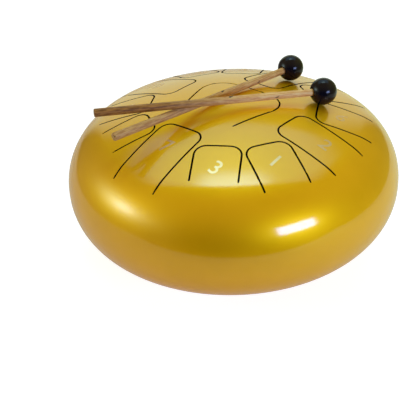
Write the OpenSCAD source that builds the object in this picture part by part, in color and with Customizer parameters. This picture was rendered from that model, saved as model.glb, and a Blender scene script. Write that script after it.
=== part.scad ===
// Steel tongue drum with two mallets.
// The origin is on the table under the middle of the drum, and the player sits on the -Y side.

/* [Body] */
// Outer diameter at the seam
body_d = 304.8; // [270:0.1:340]
// Height of the upper bowl above the seam
top_rise = 77; // [72:0.5:85]
// Radius of the upper bowl's rounded shoulder
top_shoulder_r = 57.7; // [50:0.1:62]
// Height of the lower bowl below the seam
bottom_rise = 69.3; // [66:0.1:80]
// Radius of the lower bowl's rounded shoulder
bottom_shoulder_r = 52.4; // [46:0.1:56]
// Thickness of the steel
wall = 1.8; // [1.2:0.1:2.4]
// Diameter of the sound hole in the lower bowl
sound_hole_d = 76; // [50:1:100]

/* [Seam] */
// Height of the straight band that the two bowls share
seam_band = 2.5; // [2.2:0.1:4]
// Width of the weld at the outer face
weld_w = 2; // [1.4:0.1:2.1]
// Width of the weld at the inner face
weld_root_w = 0.6; // [0.3:0.1:1]

/* [Tongues] */
// Radius of an outer tongue's corners
tongue_corner_r = 9; // [5:0.5:12]
// Width of the slot around a tongue
slot_w = 1.2; // [0.6:0.1:1.6]
// Gap at a tongue's root, where the steel is whole and bends
root_gap = 0.1; // [0.05:0.05:0.3]

/* [Middle tongue] */
// Width of the middle tongue at its root
middle_root_w = 57; // [48:0.5:62]
// Distance of the middle tongue's root from the middle of the drum
middle_root_y = 39; // [32:0.5:44]
// Distance of the middle tongue's tip from the middle of the drum
middle_tip_y = 25; // [15:0.5:32]
// Distance of the middle tongue's line to the right of the middle of the drum
middle_shift = 5; // [0:0.5:8]
// Radius of the middle tongue's corners
middle_corner_r = 20; // [10:0.5:24]
// Angle that each side of the middle tongue spreads by, in degrees
middle_spread = 15; // [5:0.5:18]

/* [Feet] */
// Distance of the feet from the drum's axis
foot_circle_r = 70; // [55:1:85]
// Height of the lower bowl's lowest point over the table
ground_gap = 6; // [4:0.5:12]
// Diameter of a foot at the bowl
foot_top_d = 24; // [18:0.5:30]
// Diameter that a foot tapers towards at its sole
foot_sole_d = 19; // [16:0.5:24]
// Rubber left under a screw's head
foot_seat_t = 5; // [3:0.5:6]
// Diameter of the pocket for a screw's head
foot_pocket_d = 10.5; // [9:0.5:12]

/* [Screws] */
// Diameter of a screw's shank
screw_d = 4; // [3:0.5:5]
// Diameter of a screw's head
screw_head_d = 8; // [7:0.5:9]
// Height of a screw's head
screw_head_h = 2.4; // [1.5:0.1:3]
// Width across the flats of a screw's socket
screw_socket_af = 2.5; // [1.5:0.5:3]
// Diameter of a washer
washer_d = 9; // [8:0.5:12]
// Thickness of a washer
washer_t = 0.8; // [0.5:0.1:1.6]
// Width across the flats of a nut
nut_af = 7; // [6:0.5:8]
// Height of a nut
nut_h = 3.2; // [2:0.1:4]
// Length of a screw that stands out of its nut
screw_end = 1.2; // [0.5:0.1:3]
// Clearance of a screw in a hole, all round
screw_clear = 0.2; // [0.1:0.05:0.4]
// Clearance of a screw in its nut, all round
thread_clear = 0.03; // [0.01:0.01:0.1]

/* [Mallets] */
// Diameter of a mallet's head
head_d = 24; // [18:0.5:30]
// Distance from the middle of the head to the stick's far end
stick_reach = 204; // [160:1:240]
// Diameter of a stick at its far end
stick_d = 7; // [5:0.1:9]
// Diameter of a stick at its head
stick_neck_d = 6.2; // [4.5:0.1:7]
// Bevel round a stick's far end
stick_bevel = 0.6; // [0.2:0.1:1.2]
// Depth that a stick goes into its head
head_bore_depth = 14; // [8:0.5:17]
// Diameter of the recess round a stick's mouth in the head
head_mouth_d = 9; // [8:0.5:12]
// Depth of the recess round a stick's mouth, from the head's own surface
head_mouth_depth = 2.2; // [1:0.1:3]
// Gap under a mallet that lies on the drum or on the other mallet
mallet_gap = 0.4; // [0.35:0.05:0.8]
// Place of the lower mallet's head to the right of the middle of the drum
lower_head_x = 11; // [0:0.5:20]
// Place of the lower mallet's head behind the middle of the drum
lower_head_y = 77.4; // [65:0.1:85]
// Direction that the lower mallet's stick leaves its head in, in degrees from +X
lower_heading = -98.6; // [-104:0.1:-94]
// Place of the upper mallet's head to the right of the middle of the drum
upper_head_x = 64; // [55:0.5:72]
// Place of the upper mallet's head behind the middle of the drum
upper_head_y = 52.1; // [45:0.1:60]
// Direction that the upper mallet's stick leaves its head in, in degrees from +X
upper_heading = -122.8; // [-127:0.1:-118]

/* [Hidden] */
// Each tongue by its hour on a clock face seen from above, with six at the player:
// degrees that it is turned from its hour, and its tip, its root and its width as shares of the
// body's radius.
tongue_shares = [
    [-1.5, 0.486, 0.82, 0.239],
    [-1.5, 0.512, 0.827, 0.257],
    [-1, 0.423, 0.827, 0.257],
    [0, 0.522, 0.814, 0.249],
    [2, 0.505, 0.745, 0.249],
    [1, 0.407, 0.846, 0.278],
    [0, 0.489, 0.752, 0.242],
    [0.5, 0.479, 0.774, 0.252],
    [-0.5, 0.358, 0.781, 0.262],
    [-1, 0.512, 0.768, 0.245],
    [1, 0.463, 0.774, 0.242],
    [-0.8, 0.272, 0.8, 0.266],
];
hours = len(tongue_shares);
function two_digits(n) = n < 10 ? str("0", n) : str(n);
function tongue_name(hour) = str("tongue_", two_digits(hour));

foot_names = ["right_foot", "back_foot", "left_foot", "front_foot"];

$fn = 180;
dome_facets = 720;
overrun = 2 * wall;
gold = "#C79A2A";
dark_gold = "#9C7415";

body_r = body_d / 2;
half_band = seam_band / 2;
seam_z = ground_gap + bottom_rise;

// A bowl's outline is a flat dome arc about the axis and a rounded shoulder arc that runs down to
// the seam band. The shoulder's circle reaches past the dome's by a bite, so that the two cross.
shoulder_bite = 0.05;
function dome_radius(rise, shoulder_r) =
    let (reach = body_r - shoulder_r, h = rise - half_band, r = shoulder_r - shoulder_bite)
    (reach * reach + h * h - r * r) / (2 * (h - r));
function dome_centre(rise, shoulder_r) = rise - dome_radius(rise, shoulder_r);
function meet_angle(rise, shoulder_r) =
    atan2(body_r - shoulder_r, half_band - dome_centre(rise, shoulder_r));

top_dome_r = dome_radius(top_rise, top_shoulder_r);
top_dome_z = seam_z + dome_centre(top_rise, top_shoulder_r);
bottom_dome_r = dome_radius(bottom_rise, bottom_shoulder_r);
bottom_dome_z = seam_z - dome_centre(bottom_rise, bottom_shoulder_r);

// Half section of a bowl filled solid, with its outer face moved in by inset.
module bowl_filled(rise, shoulder_r, inset) {
    far = 2 * body_r;
    meet = meet_angle(rise, shoulder_r);
    difference() {
        translate([0, dome_centre(rise, shoulder_r)])
            circle(dome_radius(rise, shoulder_r) - inset, $fn = dome_facets);
        translate([body_r - shoulder_r, half_band])
            difference() {
                polygon([[0, 0], far * [sin(meet), cos(meet)], [far, far], [far, 0]]);
                circle(shoulder_r - inset);
            }
        translate([body_r - inset, half_band - far])
            square([far, far]);
    }
}

// Half section of a bowl's wall, with its edge bevelled for the weld.
module bowl_outline(rise, shoulder_r) {
    far = 2 * dome_radius(rise, shoulder_r);
    difference() {
        bowl_filled(rise, shoulder_r, 0);
        bowl_filled(rise, shoulder_r, wall);
        translate([-far, -far])
            square([far, 2 * far]);
        translate([-far, weld_root_w / 2 - far])
            square([2 * far, far]);
        polygon([[body_r - wall, weld_root_w / 2], [body_r, weld_w / 2],
                 [far, weld_w / 2], [far, -weld_w], [body_r - wall, -weld_w]]);
    }
}

module top_bowl() {
    translate([0, 0, seam_z])
        rotate_extrude()
            bowl_outline(top_rise, top_shoulder_r);
}

module bottom_bowl() {
    translate([0, 0, seam_z])
        mirror([0, 0, 1])
            rotate_extrude()
                bowl_outline(bottom_rise, bottom_shoulder_r);
}

function arc(centre, r, from, to, steps) =
    [for (i = [0 : steps]) let (t = from + (to - from) * i / steps) centre + r * [cos(t), sin(t)]];

// Plan of a tongue: its root lies on the Y axis and its tip points along +X. Each side spreads by
// an angle, and grow moves the sides and the tip outwards. These are the points of its left half,
// from where the side leaves the root round the corner to the tip.
corner_steps = 8;
function side_points(length, root_w, corner_r, spread, grow) =
    let (tip = length + grow,
         r = corner_r + grow,
         x = tip - r,
         y = root_w / 2 + grow / cos(spread) + x * tan(spread) - r / cos(spread))
    arc([x, y], r, 90 + spread, 0, corner_steps);
function mirrored(points) =
    concat(points, [for (i = [len(points) - 1 : -1 : 0]) [points[i].x, -points[i].y]]);

module tongue_plan(length, root_w, corner_r, spread) {
    polygon(mirrored(concat([[0, root_w / 2]], side_points(length, root_w, corner_r, spread, 0))));
}

// Plan of the opening for a tongue, with the round ends of its slot.
slot_end_steps = 6;
module tongue_hole_plan(length, root_w, corner_r, spread) {
    end_r = slot_w / 2 / cos(spread);
    end_at = [-root_gap, root_w / 2 - root_gap * tan(spread) + end_r];
    polygon(mirrored(concat(arc(end_at, end_r, 270, 90, slot_end_steps),
                            side_points(length, root_w, corner_r, spread, slot_w))));
}

// Puts an outer tongue's plan at its hour.
module at_hour(hour) {
    row = tongue_shares[hour - 1];
    rotate(90 - 360 / hours * hour + row[0])
        translate([row[2] * body_r, 0])
            rotate(180)
                children();
}

function outer_length(hour) =
    (tongue_shares[hour - 1][2] - tongue_shares[hour - 1][1]) * body_r;
function outer_width(hour) = tongue_shares[hour - 1][3] * body_r;

module at_middle() {
    translate([middle_shift, -middle_root_y])
        rotate(90)
            children();
}

module upright() {
    translate([0, 0, seam_z])
        linear_extrude(top_rise + overrun)
            children();
}

module outer_tongue(hour) {
    color(gold)
        intersection() {
            top_bowl();
            upright()
                at_hour(hour)
                    tongue_plan(outer_length(hour), outer_width(hour), tongue_corner_r, 0);
        }
}

module tongue_centre() {
    color(gold)
        intersection() {
            top_bowl();
            upright()
                at_middle()
                    tongue_plan(middle_root_y + middle_tip_y, middle_root_w, middle_corner_r,
                                middle_spread);
        }
}

module top_shell() {
    color(gold)
        difference() {
            top_bowl();
            for (hour = [1 : hours])
                upright()
                    at_hour(hour)
                        tongue_hole_plan(outer_length(hour), outer_width(hour), tongue_corner_r, 0);
            upright()
                at_middle()
                    tongue_hole_plan(middle_root_y + middle_tip_y, middle_root_w, middle_corner_r,
                                     middle_spread);
        }
}

module bottom_shell() {
    color(dark_gold)
        difference() {
            bottom_bowl();
            cylinder(h = seam_z, d = sound_hole_d);
            at_feet()
                translate([0, 0, -bottom_dome_r - overrun])
                    cylinder(h = wall + 2 * overrun, d = screw_d + 2 * screw_clear, $fn = 48);
        }
}

// The weld fills the groove between the two bowls and is ground flush.
module seam_weld() {
    color(dark_gold)
        translate([0, 0, seam_z])
            rotate_extrude()
                polygon([[body_r - wall, -weld_root_w / 2], [body_r, -weld_w / 2],
                         [body_r, weld_w / 2], [body_r - wall, weld_root_w / 2]]);
}

// A foot stands square to the lower bowl. Its axis runs through the middle of the bowl's dome arc,
// and places along it are measured down from there.
foot_lean = asin(foot_circle_r / bottom_dome_r);
foot_turns = [0, 90, 180, 270];

module at_foot(turn) {
    translate([0, 0, bottom_dome_z])
        rotate([0, -foot_lean, turn])
            children();
}

module at_feet() {
    for (turn = foot_turns)
        at_foot(turn)
            children();
}

foot_drop = ground_gap + bottom_dome_r * (1 - cos(foot_lean));
foot_len = (foot_drop + foot_top_d / 2 * sin(foot_lean)) / cos(foot_lean);
washer_face = bottom_dome_r - sqrt(pow(bottom_dome_r - wall, 2) - pow(washer_d / 2, 2));

module foot(turn) {
    color("#1C1C1E")
        intersection() {
            at_foot(turn)
                difference() {
                    translate([0, 0, -bottom_dome_r - foot_len])
                        cylinder(h = foot_len + foot_seat_t, d1 = foot_sole_d, d2 = foot_top_d, $fn = 96);
                    sphere(bottom_dome_r, $fn = 360);
                    translate([0, 0, -bottom_dome_r - foot_seat_t - foot_len])
                        cylinder(h = foot_len, d = foot_pocket_d, $fn = 72);
                    translate([0, 0, -bottom_dome_r - foot_len])
                        cylinder(h = foot_len + foot_seat_t, d = screw_d + 2 * screw_clear, $fn = 48);
                }
            translate([-body_r, -body_r, 0])
                cube([body_d, body_d, seam_z]);
        }
}

module foot_screws() {
    socket_depth = screw_head_h / 2;
    color("silver")
        at_feet() {
            difference() {
                translate([0, 0, -bottom_dome_r - foot_seat_t - screw_head_h])
                    cylinder(h = screw_head_h, d = screw_head_d, $fn = 72);
                translate([0, 0, -bottom_dome_r - foot_seat_t - 2 * screw_head_h + socket_depth])
                    cylinder(h = screw_head_h, d = screw_socket_af / cos(30), $fn = 6);
            }
            translate([0, 0, -bottom_dome_r - foot_seat_t])
                cylinder(h = foot_seat_t + washer_face + washer_t + nut_h + screw_end, d = screw_d, $fn = 48);
        }
}

module foot_washers() {
    color("silver")
        at_feet()
            translate([0, 0, washer_face - bottom_dome_r])
                difference() {
                    cylinder(h = washer_t, d = washer_d, $fn = 72);
                    translate([0, 0, -washer_t])
                        cylinder(h = 3 * washer_t, d = screw_d + 2 * screw_clear, $fn = 48);
                }
}

module foot_nuts() {
    color("silver")
        at_feet()
            translate([0, 0, washer_face + washer_t - bottom_dome_r])
                difference() {
                    cylinder(h = nut_h, d = nut_af / cos(30), $fn = 6);
                    translate([0, 0, -nut_h])
                        cylinder(h = 3 * nut_h, d = screw_d + 2 * thread_clear, $fn = 48);
                }
}

// A mallet's head rests on the dome, so its middle lies one radius and the gap above it.
stick_r = stick_d / 2;
head_r = head_d / 2;

function head_place(x, y) =
    let (far = top_dome_r + head_r + mallet_gap)
    [x, y, top_dome_z + sqrt(far * far - x * x - y * y)];

// Rise in degrees of a stick that leaves the place p along the heading and rests on the dome.
function rise_on_dome(p, heading) =
    let (to_dome = [0, 0, top_dome_z] - p,
         along = to_dome * [cos(heading), sin(heading), 0],
         near = top_dome_r + stick_r + mallet_gap,
         swing = acos(sqrt(to_dome * to_dome - near * near) / norm([along, to_dome.z])))
    atan2(to_dome.z, along) + swing;

// Rise in degrees of a stick that leaves the place p along the heading and rests on the stick
// that runs from the place q in the direction d.
function rise_on_stick(p, heading, q, d) =
    let (flat = [cos(heading), sin(heading), 0],
         up = [0, 0, 1],
         near = 2 * stick_r + mallet_gap,
         u = cross(d, flat),
         v = cross(d, up),
         a = (p - q) * u,
         b = (p - q) * v,
         k2 = b * b - near * near * (v * v),
         k1 = a * b - near * near * (u * v),
         k0 = a * a - near * near * (u * u))
    atan((sqrt(k1 * k1 - k2 * k0) - k1) / k2);

function direction(rise, heading) =
    [cos(rise) * cos(heading), cos(rise) * sin(heading), sin(rise)];

lower_head_at = head_place(lower_head_x, lower_head_y);
lower_rise = rise_on_dome(lower_head_at, lower_heading);
upper_head_at = head_place(upper_head_x, upper_head_y);
upper_rise = rise_on_stick(upper_head_at, upper_heading,
                           lower_head_at, direction(lower_rise, lower_heading));

// Puts a piece that runs along +Z from the middle of a head along that mallet.
module along_mallet(at, rise, heading) {
    translate(at)
        rotate([0, 90 - rise, heading])
            children();
}

module stick() {
    bore_end = head_r - head_bore_depth;
    color("#C9A06C") {
        translate([0, 0, bore_end])
            cylinder(h = head_bore_depth, d = stick_neck_d, $fn = 72);
        translate([0, 0, head_r])
            cylinder(h = stick_reach - head_r - stick_bevel, d1 = stick_neck_d, d2 = stick_d, $fn = 72);
        translate([0, 0, stick_reach - stick_bevel])
            cylinder(h = stick_bevel, d1 = stick_d, d2 = stick_d - 2 * stick_bevel, $fn = 72);
    }
}

module mallet_head() {
    color("#141416")
        difference() {
            sphere(head_r, $fn = 120);
            translate([0, 0, head_r - head_bore_depth])
                cylinder(h = head_d, d = stick_neck_d, $fn = 72);
            translate([0, 0, head_r - head_mouth_depth])
                cylinder(h = head_d, d = head_mouth_d, $fn = 72);
        }
}

module upper_mallet_stick() {
    along_mallet(upper_head_at, upper_rise, upper_heading)
        stick();
}

module upper_mallet_head() {
    along_mallet(upper_head_at, upper_rise, upper_heading)
        mallet_head();
}

module lower_mallet_stick() {
    along_mallet(lower_head_at, lower_rise, lower_heading)
        stick();
}

module lower_mallet_head() {
    along_mallet(lower_head_at, lower_rise, lower_heading)
        mallet_head();
}

top_shell();
bottom_shell();
seam_weld();
tongue_centre();
for (hour = [1 : hours])
    outer_tongue(hour);
for (i = [0 : len(foot_names) - 1])
    foot(foot_turns[i]);
foot_screws();
foot_washers();
foot_nuts();
upper_mallet_stick();
upper_mallet_head();
lower_mallet_stick();
lower_mallet_head();
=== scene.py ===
from math import asin, atan2, cos, pi, radians, sin, sqrt, tan

import bpy
from mathutils import Matrix, Quaternion, Vector


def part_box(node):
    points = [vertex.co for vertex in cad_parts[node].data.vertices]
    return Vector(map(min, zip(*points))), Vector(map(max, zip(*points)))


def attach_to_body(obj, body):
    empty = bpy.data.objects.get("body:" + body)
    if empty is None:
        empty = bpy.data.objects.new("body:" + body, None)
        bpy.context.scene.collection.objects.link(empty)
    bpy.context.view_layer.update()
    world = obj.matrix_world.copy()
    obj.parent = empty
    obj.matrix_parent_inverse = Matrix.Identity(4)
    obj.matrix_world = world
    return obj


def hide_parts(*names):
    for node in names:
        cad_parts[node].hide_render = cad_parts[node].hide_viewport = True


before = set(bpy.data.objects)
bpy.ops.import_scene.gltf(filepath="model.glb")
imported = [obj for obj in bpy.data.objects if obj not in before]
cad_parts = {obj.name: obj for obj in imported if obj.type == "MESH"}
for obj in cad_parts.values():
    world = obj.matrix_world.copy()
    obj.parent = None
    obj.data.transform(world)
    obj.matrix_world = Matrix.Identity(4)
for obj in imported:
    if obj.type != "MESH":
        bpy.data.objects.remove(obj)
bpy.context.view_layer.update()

# The photograph's camera.
# It stands before the player's right knee, a little above the drum, and looks down on it with a
# moderate lens. The drum's seam circle is centred to the right of the picture's middle.
body_low, body_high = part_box("seam_weld")
body_r = body_high.x
seam_z = (body_low.z + body_high.z) / 2
seam_centre = Vector((0, 0, seam_z))
photo_px = 400
focal_px = 786.6
centre_px = (232.0, 171.1)
camera_azimuth = -50.5
camera_rise = 29.83
camera_roll = -1.656
camera_distance = 4.868 * body_r

camera = bpy.data.objects.new("camera", bpy.data.cameras.new("camera"))
bpy.context.scene.collection.objects.link(camera)
bpy.context.scene.camera = camera
camera.data.sensor_width = 36
camera.data.lens = focal_px / photo_px * camera.data.sensor_width


def toward(azimuth, rise):
    """The direction at an angle round from the camera's own side and an angle up, in degrees."""
    turn = radians(camera_azimuth + azimuth)
    lift = radians(rise)
    return Vector((cos(turn) * cos(lift), sin(turn) * cos(lift), sin(lift)))


away = toward(0, camera_rise)
camera.location = seam_centre + camera_distance * away
centre_ray = Vector((centre_px[0] - photo_px / 2, photo_px / 2 - centre_px[1], -focal_px))
pan = Vector((0, 0, -1)).rotation_difference(centre_ray)
camera.rotation_mode = "QUATERNION"
camera.rotation_quaternion = (
    (-away).to_track_quat("-Z", "Y") @ Quaternion((0, 0, 1), radians(camera_roll)) @ pan.inverted()
)


# The studio.
# The drum stands on a pale table that ends a little in front of it, before a white backdrop. A broad
# ceiling panel with a bright strip hangs over it, a window is on its right and an umbrella on its left.
class Wire:
    """A value on its way through a node tree. Sums on it add the Math nodes that work them out."""

    def __init__(self, tree, socket):
        self.tree = tree
        self.socket = socket

    def node(self, kind, settings, inputs, output=0):
        """Adds a node, sets it up, wires or fills its sockets, and returns one of its outputs."""
        new = self.tree.nodes.new("ShaderNode" + kind)
        for name, value in settings.items():
            setattr(new, name, value)
        for key, value in inputs.items():
            if isinstance(value, Wire):
                self.tree.links.new(value.socket, new.inputs[key])
            elif isinstance(value, tuple) and len(value) == 3 and new.inputs[key].type == "RGBA":
                new.inputs[key].default_value = (*value, 1)
            else:
                new.inputs[key].default_value = value
        return Wire(self.tree, new.outputs[output])

    def sum(self, operation, *values):
        """A Math node's result for the values."""
        return self.node("Math", {"operation": operation}, dict(enumerate(values)))

    def __add__(self, other):
        return self.sum("ADD", self, other)

    def __radd__(self, other):
        return self.sum("ADD", other, self)

    def __sub__(self, other):
        return self.sum("SUBTRACT", self, other)

    def __rsub__(self, other):
        return self.sum("SUBTRACT", other, self)

    def __mul__(self, other):
        return self.sum("MULTIPLY", self, other)

    def __rmul__(self, other):
        return self.sum("MULTIPLY", other, self)

    def __truediv__(self, other):
        return self.sum("DIVIDE", self, other)

    def __rtruediv__(self, other):
        return self.sum("DIVIDE", other, self)

    def __abs__(self):
        return self.sum("ABSOLUTE", self)

    def atleast(self, least):
        return self.sum("MAXIMUM", self, least)

    def step(self, low, high):
        """0 below low, 1 above high and smooth between them. It falls if low is above high."""
        return self.node(
            "MapRange",
            {"interpolation_type": "SMOOTHSTEP"},
            {"Value": self, "From Min": low, "From Max": high},
        )

    def along(self, direction):
        """The length of this vector along a direction."""
        sockets = {0: self, 1: tuple(direction)}
        return self.node("VectorMath", {"operation": "DOT_PRODUCT"}, sockets, "Value")

    def noise(self, scale, detail=2, roughness=0.5):
        sockets = {"Vector": self, "Scale": scale, "Detail": detail, "Roughness": roughness}
        return self.node("TexNoise", {}, sockets)

    def mix(self, first, second):
        """The first colour where this value is 0 and the second where it is 1."""
        return self.node("Mix", {"data_type": "RGBA"}, {"Factor": self, 6: first, 7: second}, 2)

    def bump(self, strength, distance):
        """A normal that is raised where this value is high."""
        sockets = {"Height": self, "Strength": strength, "Distance": distance}
        return self.node("Bump", {}, sockets, "Normal")


def material(name):
    """A new material with its shader and its Object coordinates."""
    made = bpy.data.materials.new(name)
    made.use_nodes = True
    shader = made.node_tree.nodes["Principled BSDF"]
    return made, shader, Wire(made.node_tree, None).node("TexCoord", {}, {}, "Object")


def feed(shader, **sockets):
    """Fills the shader's sockets, which are named with _ for each space, from links or constants."""
    for name, value in sockets.items():
        socket = shader.inputs[name.replace("_", " ")]
        if isinstance(value, Wire):
            value.tree.links.new(value.socket, socket)
        elif isinstance(value, tuple):
            socket.default_value = (*value, 1)
        else:
            socket.default_value = value


back = toward(180, 0)
side = toward(90, 0)
upward = Vector((0, 0, 1))

world = bpy.data.worlds.new("studio")
bpy.context.scene.world = world
world.use_nodes = True
tree = world.node_tree
tree.nodes.clear()
look = Wire(tree, None).node("TexCoord", {}, {}, "Generated")
ahead = look.along(back)
across = look.along(side)
height = look.along(upward)


def glow(azimuth, rise, wide, high):
    """A soft patch of light in that direction, its half width and half height given as sines."""
    level = look.along(toward(azimuth + 90, 0)) / wide
    plumb = look.along(toward(azimuth, rise + 90)) / high
    fall = 0 - level * level - plumb * plumb
    return fall.sum("EXPONENT", fall) * look.along(toward(azimuth, rise)).step(0.0, 0.2)


# Where a look meets a ceiling at a height of 1, and a wall at a distance of 1.
over_ahead = ahead / height.atleast(0.01)
over_across = abs(across) / height.atleast(0.01)
back_across = abs(across) / ahead.atleast(0.01)
back_height = height / ahead.atleast(0.01)
# Each light by its name, the share of it that a look meets, and its colour.
studio = (
    ("room", height.step(-2, -1), (0.06, 0.02, 0.01)),
    ("overhead", height.step(0.1, 1.0), (0.42, 0.35, 0.06)),
    ("right_wall", across.step(0.2, 0.9), (0.33, 0.35, 0.06)),
    ("left_wall", across.step(-0.4, -0.95), (0.28, 0.22, 0.14)),
    (
        "ceiling",
        over_ahead.step(0.13, 0.25) * over_ahead.step(1.14, 0.98) * over_across.step(0.80, 0.45),
        (0.23, 0.72, 1.30),
    ),
    (
        "strip",
        over_ahead.step(0.16, 0.26) * over_ahead.step(0.44, 0.30) * over_across.step(0.27, 0.10),
        (3.0, 5.6, 6.8),
    ),
    ("umbrella", glow(-82, 20, 0.28, 0.16), (2.5, 4.4, 4.4)),
    ("umbrella_core", glow(-80, 20, 0.13, 0.09), (3.0, 3.6, 5.4)),
    (
        "backdrop",
        back_across.step(0.66, 0.46) * back_height.step(0.68, 0.60) * ahead.step(0.0, 0.2),
        (0.65, 0.80, 0.68),
    ),
)
colour = height.node("CombineXYZ", {}, {}, "Vector")
for name, mask, tone in studio:
    lit = mask.mix((0.0, 0.0, 0.0), tone)
    colour = colour.node("VectorMath", {"operation": "ADD"}, {0: colour, 1: lit})
seen = colour.node("LightPath", {}, {}, "Is Camera Ray")
colour = seen.mix(colour, (1.0, 1.0, 1.0))
shine = colour.node("Background", {}, {"Color": colour, "Strength": 1.0})
output = tree.nodes.new("ShaderNodeOutputWorld")
tree.links.new(shine.socket, output.inputs["Surface"])

window_faces = Vector((0.125, -0.078, 0.100))
window_way = toward(41, 16.5)
window_distance = 1.2
window_wide = 0.56
window_high = 0.27
lamp = bpy.data.lights.new("window", "AREA")
lamp.shape = "RECTANGLE"
lamp.size = window_wide
lamp.size_y = window_high
lamp.energy = 17
lamp.color = (0.18, 0.29, 0.68)
window = bpy.data.objects.new("window", lamp)
bpy.context.scene.collection.objects.link(window)
window.location = window_faces + window_distance * window_way
window.rotation_mode = "QUATERNION"
window.rotation_quaternion = window_way.to_track_quat("Z", "Y")
window.visible_camera = False

table_front = 0.40
table_back = 1.30
table_half = 0.70
bpy.ops.object.select_all(action="DESELECT")
bpy.ops.mesh.primitive_plane_add(size=1)
table = bpy.context.object
table.name = "table"
table.scale = (table_front + table_back, 2 * table_half, 1)
table.rotation_euler.z = radians(camera_azimuth)
table.location = (table_front - table_back) / 2 * toward(0, 0)
bpy.ops.object.transform_apply(location=True, rotation=True, scale=True)
paper, shader, place = material("pale paper with painted glow")
grain = place.noise(40, 4)
seen = place.node("LightPath", {}, {}, "Is Camera Ray")
# The paper glows white to the camera beyond the drum: painted light. Under the drum a painted shade
# darkens it, and that shows through the slots and the sound hole.
from_middle = place.node("VectorMath", {"operation": "LENGTH"}, {0: place}, "Value")
paper_glow_and_painted_shade = from_middle.step(0.30 * body_r, 0.45 * body_r).mix((0.0, 0.0, 0.0), (0.84, 0.84, 0.84))
# The drum mirrors the paper's painted glow, which is warmer on the left and yellower on the right.
mirrored_paper_glow = place.along(side).step(-0.05, 0.45).mix((0.25, 0.21, 0.22), (0.47, 0.53, 0.26))
feed(
    shader,
    Base_Color=grain.mix((0.44, 0.44, 0.44), (0.46, 0.46, 0.46)),
    Roughness=0.9,
    Emission_Color=seen.mix(mirrored_paper_glow, paper_glow_and_painted_shade),
    Emission_Strength=1.0,
)
table.data.materials.append(paper)
bpy.context.scene.view_settings.view_transform = "Standard"
bpy.context.scene.view_settings.look = "None"


# The gold lacquer.
# Metallic gold paint under a clear coat, sprayed over steel that was ground smooth. It shows very
# fine flakes, a faint orange peel and the least mottling from one hand's width to the next.
gold_deep = (0.92, 0.475, 0.001)
gold_light = (0.98, 0.510, 0.003)
lacquer, shader, place = material("gold lacquer")
mottle = place.noise(18, 3, 0.6).step(0.35, 0.65)
flakes = place.noise(2600, 1)
peel = place.noise(260, 2)
feed(
    shader,
    Base_Color=(mottle * 0.7 + flakes * 0.3).mix(gold_deep, gold_light),
    Metallic=0.6,
    Roughness=0.42 + mottle * 0.02 + flakes * 0.04,
    Specular_IOR_Level=0.0,
    Coat_Weight=1.0,
    Coat_Roughness=0.11,
    Coat_IOR=1.5,
    Specular_Tint=(1.0, 0.93, 0.70),
    Normal=peel.bump(0.02, 0.001),
)

# Inside, and on the walls of the slots, the bowls are bare steel with dark brown stains, darkened
# almost to black as painted shade for the inside of the drum.
steel_in_painted_shade, shader, place = material("bare steel in painted shade")
stain = place.noise(25, 5, 0.65).step(0.3, 0.7)
feed(
    shader,
    Base_Color=stain.mix((0.007, 0.0035, 0.0015), (0.024, 0.012, 0.005)),
    Metallic=0.6,
    Roughness=0.55 + stain * 0.2,
    Specular_IOR_Level=0.1,
    Normal=place.noise(300, 3).bump(0.15, 0.001),
)


# The two bowls.
# Each bowl is pressed from steel sheet: a flat dome that turns down over a rounded shoulder to the
# seam. They are welded edge to edge, and the weld is ground flush and lacquered over.
wall = 0.0018
half_band = 0.00125
half_weld = 0.001
shoulder_bite = 0.00005
sound_hole_r = 0.038
hole_round = 0.0005
around = 288
dome_steps = 720
shoulder_steps = 160
smooth_below = radians(35)
# Points this close are one point, where two arcs meet and elsewhere. A face this close to the
# bowls' outside, and turned like it, is a part of it.
arc_joint = 0.0002
same_point = 0.00001
skin_close = 0.00006
skin_turned = 0.98
top_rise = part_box("tongue_centre")[1].z - seam_z
bottom_rise = 0.0693
top_shoulder_r = 0.0577
bottom_shoulder_r = 0.0524


def dome_of(rise, shoulder_r):
    """The radius of a bowl's dome arc and the height of the arc's middle above the seam."""
    reach = body_r - shoulder_r
    height = rise - half_band
    small = shoulder_r - shoulder_bite
    radius = (reach * reach + height * height - small * small) / (2 * (height - small))
    return radius, rise - radius


def deselect():
    """Leaves edit mode and selects nothing."""
    if bpy.context.object and bpy.context.object.mode != "OBJECT":
        bpy.ops.object.mode_set(mode="OBJECT")
    bpy.ops.object.select_all(action="DESELECT")


def take(piece):
    """Selects one piece alone and makes it the active one."""
    deselect()
    piece.select_set(True)
    bpy.context.view_layer.objects.active = piece


def join(*objects):
    """Joins objects into the first one and returns it."""
    take(objects[0])
    for piece in objects:
        piece.select_set(True)
    if len(objects) > 1:
        bpy.ops.object.join()
    return objects[0]


def place_in_mesh(piece):
    """Moves an object's place, turn and scale into its mesh."""
    take(piece)
    bpy.ops.object.transform_apply(location=True, rotation=True, scale=True)
    return piece


def pick(piece, test):
    """Selects the vertices that pass a test, and leaves the piece in edit mode."""
    take(piece)
    bpy.ops.object.mode_set(mode="EDIT")
    bpy.ops.mesh.select_mode(type="VERT")
    bpy.ops.mesh.select_all(action="DESELECT")
    bpy.ops.object.mode_set(mode="OBJECT")
    for vertex in piece.data.vertices:
        vertex.select = test(vertex.co)
    bpy.ops.object.mode_set(mode="EDIT")


def arc_piece(steps, radius, x, z, cuts):
    """An arc in the XZ plane: a circle of which each cut keeps the side that its plane faces."""
    deselect()
    bpy.ops.mesh.primitive_circle_add(
        vertices=steps, radius=radius, location=(x, 0, z), rotation=(pi / 2, 0, 0)
    )
    arc = place_in_mesh(bpy.context.object)
    bpy.ops.object.mode_set(mode="EDIT")
    for co, no in cuts:
        bpy.ops.mesh.select_all(action="SELECT")
        bpy.ops.mesh.bisect(plane_co=co, plane_no=no, clear_inner=True)
    bpy.ops.object.mode_set(mode="OBJECT")
    return arc


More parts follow.
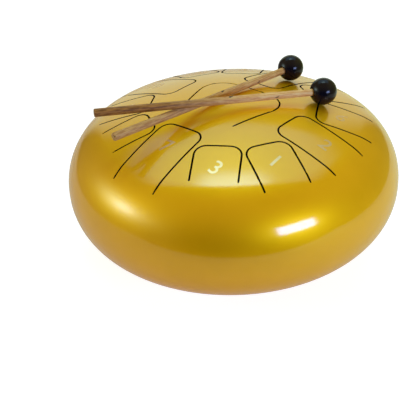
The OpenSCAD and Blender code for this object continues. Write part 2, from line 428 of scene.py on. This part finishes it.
def bowl(name, rise, shoulder_r, mouth_r):
    """The outside of a bowl that opens downwards, with a hole of mouth_r in its middle."""
    dome_r, dome_z = dome_of(rise, shoulder_r)
    meet = atan2(body_r - shoulder_r, half_band - dome_z)
    meet_r = dome_r * sin(meet)
    dome = arc_piece(
        dome_steps, dome_r, 0, dome_z,
        (((mouth_r, 0, 0), (1, 0, 0)), ((meet_r, 0, 0), (-1, 0, 0)), ((0, 0, 0), (0, 0, 1))),
    )
    shoulder = arc_piece(
        shoulder_steps, shoulder_r, body_r - shoulder_r, half_band,
        (((meet_r, 0, 0), (1, 0, 0)), ((0, 0, half_band), (0, 0, 1)),),
    )
    outline = join(dome, shoulder)
    outline.name = name
    to_weld = (0, 0, half_weld - half_band)
    pick(outline, lambda co: co.z < half_band + same_point)
    bpy.ops.mesh.extrude_region_move(TRANSFORM_OT_translate={"value": to_weld})
    bpy.ops.mesh.select_all(action="SELECT")
    bpy.ops.mesh.remove_doubles(threshold=arc_joint)
    bpy.ops.mesh.spin(steps=around, angle=2 * pi, center=(0, 0, 0), axis=(0, 0, 1))
    bpy.ops.mesh.select_all(action="SELECT")
    bpy.ops.mesh.remove_doubles(threshold=same_point)
    bpy.ops.mesh.normals_make_consistent(inside=False)
    bpy.ops.object.mode_set(mode="OBJECT")
    return outline


def finish_with(piece, kind, **settings):
    """Adds a modifier, sets it up and applies it."""
    take(piece)
    modifier = piece.modifiers.new(kind.lower(), kind)
    for name, value in settings.items():
        setattr(modifier, name, value)
    bpy.ops.object.modifier_apply(modifier=modifier.name)
    return piece


upper_bowl = bowl("upper_bowl", top_rise, top_shoulder_r, 0)
upper_bowl.location.z = seam_z
place_in_mesh(upper_bowl)
finish_with(upper_bowl, "SOLIDIFY", thickness=wall, offset=-1, use_even_offset=True)

lower_bowl = bowl("lower_bowl", bottom_rise, bottom_shoulder_r, sound_hole_r)
lower_bowl.scale.z = -1
lower_bowl.location.z = seam_z
place_in_mesh(lower_bowl)
bpy.ops.object.mode_set(mode="EDIT")
bpy.ops.mesh.select_all(action="SELECT")
bpy.ops.mesh.normals_make_consistent(inside=False)
bpy.ops.object.mode_set(mode="OBJECT")
finish_with(lower_bowl, "SOLIDIFY", thickness=wall, offset=-1, use_even_offset=True)
bpy.ops.object.mode_set(mode="EDIT")
bpy.ops.mesh.select_mode(type="EDGE")
bpy.ops.mesh.select_all(action="DESELECT")
bpy.ops.object.mode_set(mode="OBJECT")
for edge in lower_bowl.data.edges:
    ends = [lower_bowl.data.vertices[i] for i in edge.vertices]
    level = abs(ends[0].co.z - ends[1].co.z) < wall / 100
    edge.select = level and abs(ends[0].co.xy.length - sound_hole_r) < wall / 5
bpy.ops.object.mode_set(mode="EDIT")
bpy.ops.mesh.bevel(offset=hole_round, segments=3)
bpy.ops.object.mode_set(mode="OBJECT")

top_dome_r, top_dome_z = dome_of(top_rise, top_shoulder_r)
bottom_dome_r, bottom_dome_z = dome_of(bottom_rise, bottom_shoulder_r)


def skin(point):
    """How far a point lies outside the lacquered face of the bowls, and the way out there."""
    if point.z >= seam_z:
        dome_r, dome_z, shoulder_r, side_up = top_dome_r, top_dome_z, top_shoulder_r, 1
    else:
        dome_r, dome_z, shoulder_r, side_up = bottom_dome_r, bottom_dome_z, bottom_shoulder_r, -1
    height = abs(point.z - seam_z)
    out = sqrt(point.x ** 2 + point.y ** 2)
    if height < half_band:
        rise, run = 0, 1
        gap = out - body_r
    elif atan2(out, height - dome_z) < atan2(body_r - shoulder_r, half_band - dome_z):
        rise, run = height - dome_z, out
        gap = sqrt(rise ** 2 + run ** 2) - dome_r
    else:
        rise, run = height - half_band, out - (body_r - shoulder_r)
        gap = sqrt(rise ** 2 + run ** 2) - shoulder_r
    turn = Vector((point.x, point.y, 0)).normalized()
    return gap, (turn * run + Vector((0, 0, side_up * rise))).normalized()


def smooth_skin(piece):
    """Gives the outer face lacquer and the bowls' own normals, and the inside and the cuts steel
    darkened as painted shade.
    """
    take(piece)
    bpy.ops.object.shade_smooth_by_angle(angle=smooth_below)
    mesh = piece.data
    mesh.materials.clear()
    mesh.materials.append(lacquer)
    mesh.materials.append(steel_in_painted_shade)
    normals = []
    for face in mesh.polygons:
        gap, out = skin(face.center)
        on_skin = abs(gap) < skin_close and face.normal.dot(out) > skin_turned
        face.material_index = 0 if on_skin or gap > -skin_close else 1
        for index in face.vertices:
            normals.append(skin(mesh.vertices[index].co)[1] if on_skin else Vector())
    mesh.normals_split_custom_set(normals)
    return piece


# The tongues and their slots.
# Each tongue is cut free of the upper bowl by one thin slot on three sides, and stays part of the
# sheet at its root, where it bends. The cut's edges are broken with a file before lacquering.
slot_w = 0.0012
lip = 0.00022
block_depth = 0.012
tongue_corner_r = 0.009
middle_root_w = 0.057
middle_root_y = 0.039
middle_length = 0.064
middle_shift = 0.005
middle_corner_r = 0.020
middle_spread = radians(15)
corner_steps = 10
side_cuts = 15
# Each tongue by its hour on a clock face seen from above, with six at the player: the degrees that
# it is turned from its hour, and its tip, its root and its width as shares of the body's radius.
tongue_shares = (
    (-1.5, 0.486, 0.820, 0.239),
    (-1.5, 0.512, 0.827, 0.257),
    (-1, 0.423, 0.827, 0.257),
    (0, 0.522, 0.814, 0.249),
    (2, 0.505, 0.745, 0.249),
    (1, 0.407, 0.846, 0.278),
    (0, 0.489, 0.752, 0.242),
    (0.5, 0.479, 0.774, 0.252),
    (-0.5, 0.358, 0.781, 0.262),
    (-1, 0.512, 0.768, 0.245),
    (1, 0.463, 0.774, 0.242),
    (-0.8, 0.272, 0.800, 0.266),
)


def tongue_axis(hour):
    """The direction from the drum's middle along the tongue at that hour."""
    return pi / 2 - hour * pi / 6 + radians(tongue_shares[hour - 1][0])


def tongue_block(where, length, root_w, corner_r, spread, grow, flare):
    """A block with a tongue's plan, grown all round, that flares where it leaves the skin."""
    length = length + grow
    root_w = root_w + 2 * grow / cos(spread)
    corner_r = corner_r + grow
    deselect()
    bpy.ops.mesh.primitive_plane_add(size=1, location=(0.5, 0, 0))
    block = place_in_mesh(bpy.context.object)
    block.scale = (length, root_w, 1)
    place_in_mesh(block)
    pick(block, lambda co: co.x > length / 2)
    widen = 1 + 2 * length * tan(spread) / root_w
    bpy.ops.transform.resize(value=(1, widen, 1), center_override=(0, 0, 0))
    reach = corner_r / tan((pi / 2 - spread) / 2)
    bpy.ops.mesh.bevel(offset=reach, segments=corner_steps, profile=0.5, affect="VERTICES")
    bpy.ops.mesh.select_all(action="SELECT")
    bpy.ops.mesh.delete(type="ONLY_FACE")
    bpy.ops.object.mode_set(mode="OBJECT")
    # The straight sides are cut into short edges, which can follow the dome.
    for edge in block.data.edges:
        a, b = (block.data.vertices[i].co for i in edge.vertices)
        edge.select = (a - b).length > corner_r / 2 and max(a.x, b.x) > length / 100
    for vertex in block.data.vertices:
        vertex.select = False
    bpy.ops.object.mode_set(mode="EDIT")
    bpy.ops.mesh.select_mode(type="EDGE")
    bpy.ops.mesh.subdivide(number_cuts=side_cuts)
    bpy.ops.mesh.select_all(action="SELECT")
    bpy.ops.transform.translate(value=(0, 0, -block_depth))
    bpy.ops.mesh.extrude_edges_move(TRANSFORM_OT_translate={"value": (0, 0, block_depth - lip)})
    bpy.ops.mesh.extrude_edges_move(TRANSFORM_OT_translate={"value": (0, 0, 2 * lip)})
    bpy.ops.mesh.select_all(action="SELECT")
    bpy.ops.mesh.normals_make_consistent(inside=False)
    pick(block, lambda co: co.z > 0 and co.x > length / 1000)
    bpy.ops.transform.shrink_fatten(value=2 * flare, use_even_offset=True)
    pick(block, lambda co: co.z > 0)
    bpy.ops.mesh.extrude_edges_move(TRANSFORM_OT_translate={"value": (0, 0, block_depth)})
    bpy.ops.mesh.edge_face_add()
    pick(block, lambda co: co.z < -block_depth / 2)
    bpy.ops.mesh.edge_face_add()
    bpy.ops.mesh.select_all(action="SELECT")
    bpy.ops.mesh.normals_make_consistent(inside=False)
    bpy.ops.object.mode_set(mode="OBJECT")
    block.data.transform(where)
    # Each point is lifted onto the dome, or onto the shoulder where that has begun.
    for vertex in block.data.vertices:
        out = sqrt(vertex.co.x ** 2 + vertex.co.y ** 2)
        dome = top_dome_z + sqrt(top_dome_r ** 2 - out ** 2)
        past = out - (body_r - top_shoulder_r)
        if out > (body_r - top_shoulder_r) * top_dome_r / (top_dome_r - top_shoulder_r):
            dome = half_band + sqrt(top_shoulder_r ** 2 - past ** 2)
        vertex.co.z += seam_z + dome
    return block


def tongue_blocks(grow, flare):
    """The blocks of all the tongues, joined."""
    blocks = []
    for hour, (_, tip, root, width) in enumerate(tongue_shares, 1):
        where = (
            Matrix.Rotation(tongue_axis(hour), 4, "Z")
            @ Matrix.Translation((root * body_r, 0, 0))
            @ Matrix.Rotation(pi, 4, "Z")
        )
        length = (root - tip) * body_r
        root_w = width * body_r
        blocks.append(tongue_block(where, length, root_w, tongue_corner_r, 0, grow, flare))
    where = Matrix.Translation((middle_shift, -middle_root_y, 0)) @ Matrix.Rotation(pi / 2, 4, "Z")
    blocks.append(
        tongue_block(
            where, middle_length, middle_root_w, middle_corner_r, middle_spread, grow, flare
        )
    )
    return join(*blocks)


def attach(piece, body, node=None):
    """Lets a piece ride on its body, and takes the place of its node."""
    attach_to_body(piece, body)
    if node:
        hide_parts(node)


def twin(piece, name):
    """A copy of a piece with a mesh of its own."""
    copy = piece.copy()
    copy.data = piece.data.copy()
    copy.name = name
    bpy.context.scene.collection.objects.link(copy)
    return copy


tongue_sheet = twin(upper_bowl, "tongue_sheet")
openings = tongue_blocks(slot_w, lip)
finish_with(upper_bowl, "BOOLEAN", operation="DIFFERENCE", solver="EXACT", object=openings)
bpy.data.objects.remove(openings)
blades = tongue_blocks(0, -lip)
finish_with(tongue_sheet, "BOOLEAN", operation="INTERSECT", solver="EXACT", object=blades)
bpy.data.objects.remove(blades)
take(tongue_sheet)
bpy.ops.object.mode_set(mode="EDIT")
bpy.ops.mesh.select_all(action="SELECT")
bpy.ops.mesh.separate(type="LOOSE")
bpy.ops.object.mode_set(mode="OBJECT")
tongues = list(bpy.context.selected_objects)
for blade in tongues:
    middle = sum((v.co for v in blade.data.vertices), Vector()) / len(blade.data.vertices)
    if middle.xy.length < 0.2 * body_r:
        node = "tongue_centre"
    else:
        turns = {hour: atan2(*middle.yx) - tongue_axis(hour) for hour in range(1, 13)}
        hour = min(turns, key=lambda hour: abs(sin(turns[hour] / 2)))
        node = f"tongue_{hour:02d}"
    blade.name = node.replace("tongue", "blade")
    smooth_skin(blade)
    attach(blade, node, node)
smooth_skin(upper_bowl)
attach(upper_bowl, "drum", "top_shell")


# The weld round the widest line.
# The two bowls are welded to each other all round. The bead is ground flush outside and lacquered
# over with them, and inside it stands proud by the width of a fingernail's edge.
weld_proud = 0.0003
deselect()
bpy.ops.mesh.primitive_cylinder_add(
    vertices=around, radius=body_r, depth=2 * half_weld,
    end_fill_type="NOTHING", location=seam_centre,
)
weld = place_in_mesh(bpy.context.object)
weld.name = "weld_bead"
finish_with(weld, "SOLIDIFY", thickness=wall + weld_proud, offset=-1)
smooth_skin(weld)
attach(weld, "drum", "seam_weld")


# The rubber feet.
# Four moulded rubber cones stand square to the lower bowl, with soft edges and soles that are cut
# level with the table. Each is hollow from below up to the seat of its screw.
foot_circle_r = 0.070
foot_top_r = 0.012
foot_sole_r = 0.0095
foot_seat = 0.005
foot_pocket_r = 0.00525
foot_round = 0.0005
ground_gap = seam_z - bottom_rise
screw_r = 0.002
screw_hole_r = 0.0022
foot_lean = asin(foot_circle_r / bottom_dome_r)
foot_drop = ground_gap + bottom_dome_r * (1 - cos(foot_lean))
foot_len = (foot_drop + foot_top_r * sin(foot_lean)) / cos(foot_lean)


def at_foot(turn):
    """The place of a foot: the origin lies on the bowl's outside and +Z points into the bowl."""
    return (
        Matrix.Translation((0, 0, seam_z - bottom_dome_z))
        @ Matrix.Rotation(turn, 4, "Z")
        @ Matrix.Rotation(-foot_lean, 4, "Y")
        @ Matrix.Translation((0, 0, -bottom_dome_r))
    )


def cylinder(radius, low, high, vertices=72):
    """An upright cylinder from one height to another."""
    deselect()
    bpy.ops.mesh.primitive_cylinder_add(
        vertices=vertices, radius=radius, depth=high - low, location=(0, 0, (low + high) / 2)
    )
    return place_in_mesh(bpy.context.object)


def carve(piece, *tools):
    """Takes the tools away from a piece, and removes them."""
    tool = join(*tools)
    finish_with(piece, "BOOLEAN", operation="DIFFERENCE", solver="EXACT", object=tool)
    bpy.data.objects.remove(tool)


def soften(piece, width, sharp=radians(40)):
    """Rounds a piece's edges that turn by more than an angle, and shades it smooth."""
    finish_with(piece, "BEVEL", width=width, segments=3, limit_method="ANGLE", angle_limit=sharp)
    take(piece)
    bpy.ops.object.shade_smooth_by_angle(angle=smooth_below)


foot_turns = {"right_foot": 0, "back_foot": pi / 2, "left_foot": pi, "front_foot": -pi / 2}
drills = []
for turn in foot_turns.values():
    drill = cylinder(screw_hole_r, -block_depth, block_depth)
    drill.data.transform(at_foot(turn))
    drills.append(drill)
carve(lower_bowl, *drills)
smooth_skin(lower_bowl)
attach(lower_bowl, "drum", "bottom_shell")

rubber, shader, place = material("black moulded rubber")
mottle = place.noise(60, 3)
feed(
    shader,
    Base_Color=mottle.mix((0.012, 0.012, 0.013), (0.022, 0.022, 0.023)),
    Roughness=0.55 + 0.2 * place.noise(900, 2),
)

deselect()
bpy.ops.mesh.primitive_cone_add(
    vertices=96, radius1=foot_sole_r, radius2=foot_top_r, depth=foot_len + foot_seat,
    location=(0, 0, (foot_seat - foot_len) / 2),
)
foot = place_in_mesh(bpy.context.object)
table_cut = at_foot(0).inverted() @ Vector((0, 0, 0))
table_up = at_foot(0).inverted().to_3x3() @ upward
bpy.ops.object.mode_set(mode="EDIT")
bpy.ops.mesh.select_all(action="SELECT")
bpy.ops.mesh.bisect(plane_co=(0, 0, 0), plane_no=(0, 0, 1), use_fill=True, clear_outer=True)
bpy.ops.mesh.select_all(action="SELECT")
bpy.ops.mesh.bisect(plane_co=table_cut, plane_no=table_up, use_fill=True, clear_inner=True)
bpy.ops.object.mode_set(mode="OBJECT")
carve(
    foot,
    cylinder(foot_pocket_r, -2 * foot_len, -foot_seat),
    cylinder(screw_hole_r, -foot_len, foot_len),
)
# The upper face takes the bowl's curve.
for vertex in foot.data.vertices:
    out = vertex.co.xy.length
    if vertex.co.z > -foot_seat / 2:
        vertex.co.z = bottom_dome_r - sqrt(bottom_dome_r ** 2 - out ** 2)
soften(foot, foot_round)
foot.data.materials.append(rubber)
for name, turn in foot_turns.items():
    copy = twin(foot, name.replace("foot", "rubber"))
    copy.data.transform(at_foot(turn))
    attach(copy, "drum", name)
bpy.data.objects.remove(foot)


# The screws of the feet, with their washers and nuts.
# A short zinc plated screw with a socket head sits in each foot's pocket and passes through the bowl.
# Inside the drum a washer and a hexagonal nut hold it.
screw_head_r = 0.004
screw_head_h = 0.0024
socket_af = 0.0025
washer_r = 0.0045
washer_t = 0.0008
nut_af = 0.007
nut_h = 0.0032
screw_end = 0.0012
head_round = 0.0002
thread_round = 0.0004
washer_round = 0.00015
nut_round = 0.0001
nut_ease = 0.00003
washer_face = bottom_dome_r - sqrt((bottom_dome_r - wall) ** 2 - washer_r ** 2)

steel, shader, place = material("zinc plated steel")
rub = place.noise(300, 4)
feed(
    shader,
    Base_Color=rub.mix((0.50, 0.50, 0.49), (0.62, 0.62, 0.60)),
    Metallic=1.0,
    Roughness=0.28 + 0.15 * rub,
)

nut_low = washer_face + washer_t
screw = cylinder(screw_head_r, -foot_seat - screw_head_h, -foot_seat)
socket_low = -foot_seat - 1.5 * screw_head_h
carve(screw, cylinder(socket_af / 2 / cos(pi / 6), socket_low, socket_low + screw_head_h, 6))
soften(screw, head_round)
shank = cylinder(screw_r, -foot_seat - screw_head_h / 4, nut_low + nut_h + screw_end)
soften(shank, thread_round)
screw = join(screw, shank)
washer = cylinder(washer_r, washer_face, nut_low)
carve(washer, cylinder(screw_hole_r, -block_depth, block_depth))
soften(washer, washer_round)
nut = cylinder(nut_af / 2 / cos(pi / 6), nut_low, nut_low + nut_h, 6)
# A cone of 45 degrees chamfers the nut: it crosses the upper face where its flats are.
deselect()
bpy.ops.mesh.primitive_cone_add(
    vertices=72, radius1=nut_af / 2 + 1.6 * nut_h, radius2=nut_af / 2 - 0.1 * nut_h,
    depth=1.7 * nut_h, location=(0, 0, nut_low + 0.25 * nut_h),
)
chamfer = place_in_mesh(bpy.context.object)
finish_with(nut, "BOOLEAN", operation="INTERSECT", solver="EXACT", object=chamfer)
bpy.data.objects.remove(chamfer)
carve(nut, cylinder(screw_r + nut_ease, -block_depth, 2 * block_depth))
soften(nut, nut_round)
for piece, node in ((screw, "foot_screws"), (washer, "foot_washers"), (nut, "foot_nuts")):
    piece.data.materials.append(steel)
    for name, turn in foot_turns.items():
        copy = twin(piece, name.replace("foot", node[5:-1]))
        copy.data.transform(at_foot(turn))
        attach(copy, "drum", node)
    bpy.data.objects.remove(piece)


# The mallets.
# Each is a turned stick of pale wood, glued into the bore of a black rubber ball. The lower one
# lies on the drum, and the upper one lies on the lower one's stick. Both balls touch the drum.
head_r = 0.012
stick_r = 0.0035
stick_neck_r = 0.0031
stick_reach = 0.204
stick_bevel = 0.0006
stick_sunk = 0.014
mouth_r = 0.0045
mouth_depth = 0.0022
mouth_round = 0.00025

ball, shader, place = material("black polished rubber")
feed(
    shader,
    Base_Color=place.noise(90, 3).mix((0.001, 0.002, 0.006), (0.003, 0.005, 0.012)),
    Roughness=0.13 + 0.06 * place.noise(500, 3),
    Specular_IOR_Level=0.3,
    Specular_Tint=(1.0, 0.80, 0.68),
    Normal=place.noise(260, 2).bump(0.12, 0.0003),
)


def stick_wood(name, along, middle, head_darkening, tail_darkening):
    """Wood with short streaks along the stick, darkened by one share at its head and by another at its
    tail.
    """
    made, shader, place = material(name)
    turned = along.to_track_quat("Z", "Y").to_euler()
    sockets = {"Vector": place, "Location": tuple(middle), "Rotation": tuple(turned)}
    grain = place.node("Mapping", {"vector_type": "TEXTURE"}, sockets, "Vector")

    def streaks(wide, long, detail):
        sockets = {"Vector": grain, "Scale": (1 / wide, 1 / wide, 1 / long)}
        return grain.node("Mapping", {}, sockets, "Vector").noise(1, detail, 0.6)

    fibre = streaks(0.0007, 0.020, 3)
    figure = streaks(0.0017, 0.0075, 4)
    knot = streaks(0.0050, 0.012, 1).step(0.70, 0.76)
    # The wood turns from its light tone towards its dark one from the head to the tail, by the shares
    # given for each end.
    darkening = grain.along(upward).step(-0.05, 0.06) * (tail_darkening - head_darkening) + head_darkening
    vein = (0.5 * fibre + 0.5 * figure).step(0.38, 0.60)
    light_wood = vein.mix((0.80, 0.37, 0.11), (1.0, 0.66, 0.25))
    dark_wood = vein.mix((0.19, 0.07, 0.011), (0.49, 0.21, 0.042))
    feed(
        shader,
        Base_Color=knot.mix(darkening.mix(light_wood, dark_wood), (0.070, 0.026, 0.006)),
        Roughness=0.42 + 0.25 * fibre,
        Specular_IOR_Level=0.3,
        Normal=fibre.bump(0.35, 0.0002),
    )
    return made


for which, head_darkening, tail_darkening in (("lower", 0.40, 0.50), ("upper", 0.0, 1.0)):
    body = f"{which}_mallet"
    low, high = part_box(f"{body}_head")
    head_at = (low + high) / 2
    low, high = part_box(f"{body}_stick")
    along = ((low + high) / 2 - head_at).normalized()
    # Along each axis the stick's box ends at the rim of the tail's end face, or where its rounding
    # starts. That gives the middle of the face.
    tail = Vector()
    for axis, share in enumerate(along):
        level = sqrt(1 - share ** 2)
        past = max(stick_r * level - stick_bevel * abs(share), (stick_r - stick_bevel) * level)
        tail[axis] = high[axis] - past if share > 0 else low[axis] + past
    along = (tail - head_at).normalized()
    where = Matrix.Translation(head_at) @ along.to_track_quat("Z", "Y").to_matrix().to_4x4()

    deselect()
    bpy.ops.mesh.primitive_cone_add(
        vertices=64, radius1=stick_neck_r, radius2=stick_r, depth=stick_reach - head_r,
        location=(0, 0, (stick_reach + head_r) / 2),
    )
    stick = place_in_mesh(bpy.context.object)
    pick(stick, lambda co: co.z < head_r * 1.01)
    bpy.ops.mesh.select_mode(type="FACE")
    bpy.ops.mesh.extrude_region_move(TRANSFORM_OT_translate={"value": (0, 0, -stick_sunk)})
    bpy.ops.object.mode_set(mode="OBJECT")
    soften(stick, stick_bevel)
    stick.name = f"{body}_rod"
    stick.data.transform(where)
    middle = head_at + stick_reach / 2 * along
    wood = stick_wood(f"{which} stick wood", along, middle, head_darkening, tail_darkening)
    stick.data.materials.append(wood)
    attach(stick, body, f"{body}_stick")

    deselect()
    bpy.ops.mesh.primitive_uv_sphere_add(segments=96, ring_count=64, radius=head_r)
    head = place_in_mesh(bpy.context.object)
    carve(
        head,
        cylinder(mouth_r, head_r - mouth_depth, 2 * head_r),
        cylinder(stick_neck_r, head_r - stick_sunk, 2 * head_r),
    )
    soften(head, mouth_round, radians(30))
    head.name = f"{body}_ball"
    head.data.transform(where)
    head.data.materials.append(ball)
    attach(head, body, f"{body}_head")


# The numerals.
# A plain number is printed in silver paint near the middle of each tongue but the middle one. Each
# stands upright for the player, and it follows the tongue's face.
numeral_h = 0.0135
numeral_proud = 0.00008
numeral_bold = 0.00015
numeral_strip = 0.003
numeral_strips = 3
numeral_merge = 0.000001
digit_share = 0.70
numerals = {
    1: "8", 2: "6", 3: "2", 4: "1", 5: "3", 6: "7",
    7: "5", 8: "4", 9: "10", 10: "12", 11: "9", 12: "11",
}
# How far from the drum's middle a numeral stands, as a share of the body's radius: on most tongues,
# and on those of some hours.
usual_share = 0.63
numeral_shares = {2: 0.648, 3: 0.668, 4: 0.649, 5: 0.661, 6: 0.572}

silver, shader, place = material("silver paint")
worn = place.noise(700, 4, 0.7)
feed(
    shader,
    Base_Color=worn.mix((0.76, 0.46, 0.18), (0.98, 0.66, 0.32)),
    Metallic=1.0,
    Roughness=0.30 + 0.1 * worn,
)

for hour, digits in numerals.items():
    deselect()
    bpy.ops.object.text_add()
    word = bpy.context.object
    word.data.body = digits
    word.data.align_x = "CENTER"
    word.data.align_y = "CENTER"
    word.data.size = numeral_h / digit_share
    word.data.extrude = numeral_proud / 2
    word.data.offset = numeral_bold
    bpy.ops.object.convert(target="MESH")
    word = bpy.context.object
    bpy.ops.object.mode_set(mode="EDIT")
    bpy.ops.mesh.select_all(action="SELECT")
    bpy.ops.mesh.remove_doubles(threshold=numeral_merge)
    for step in range(-numeral_strips, numeral_strips + 1):
        for way in (Vector((1, 0, 0)), Vector((0, 1, 0))):
            bpy.ops.mesh.select_all(action="SELECT")
            bpy.ops.mesh.bisect(plane_co=step * numeral_strip * way, plane_no=way)
    bpy.ops.object.mode_set(mode="OBJECT")
    axis = tongue_axis(hour)
    out = numeral_shares.get(hour, usual_share) * body_r
    at = Vector((out * cos(axis), out * sin(axis), 0))
    for vertex in word.data.vertices:
        spot = at + vertex.co
        dome = top_dome_z + sqrt(top_dome_r ** 2 - spot.x ** 2 - spot.y ** 2)
        spot.z += seam_z + dome + numeral_proud / 2
        vertex.co = spot
    word.name = f"number_{digits}"
    word.data.materials.append(silver)
    attach(word, f"tongue_{hour:02d}")
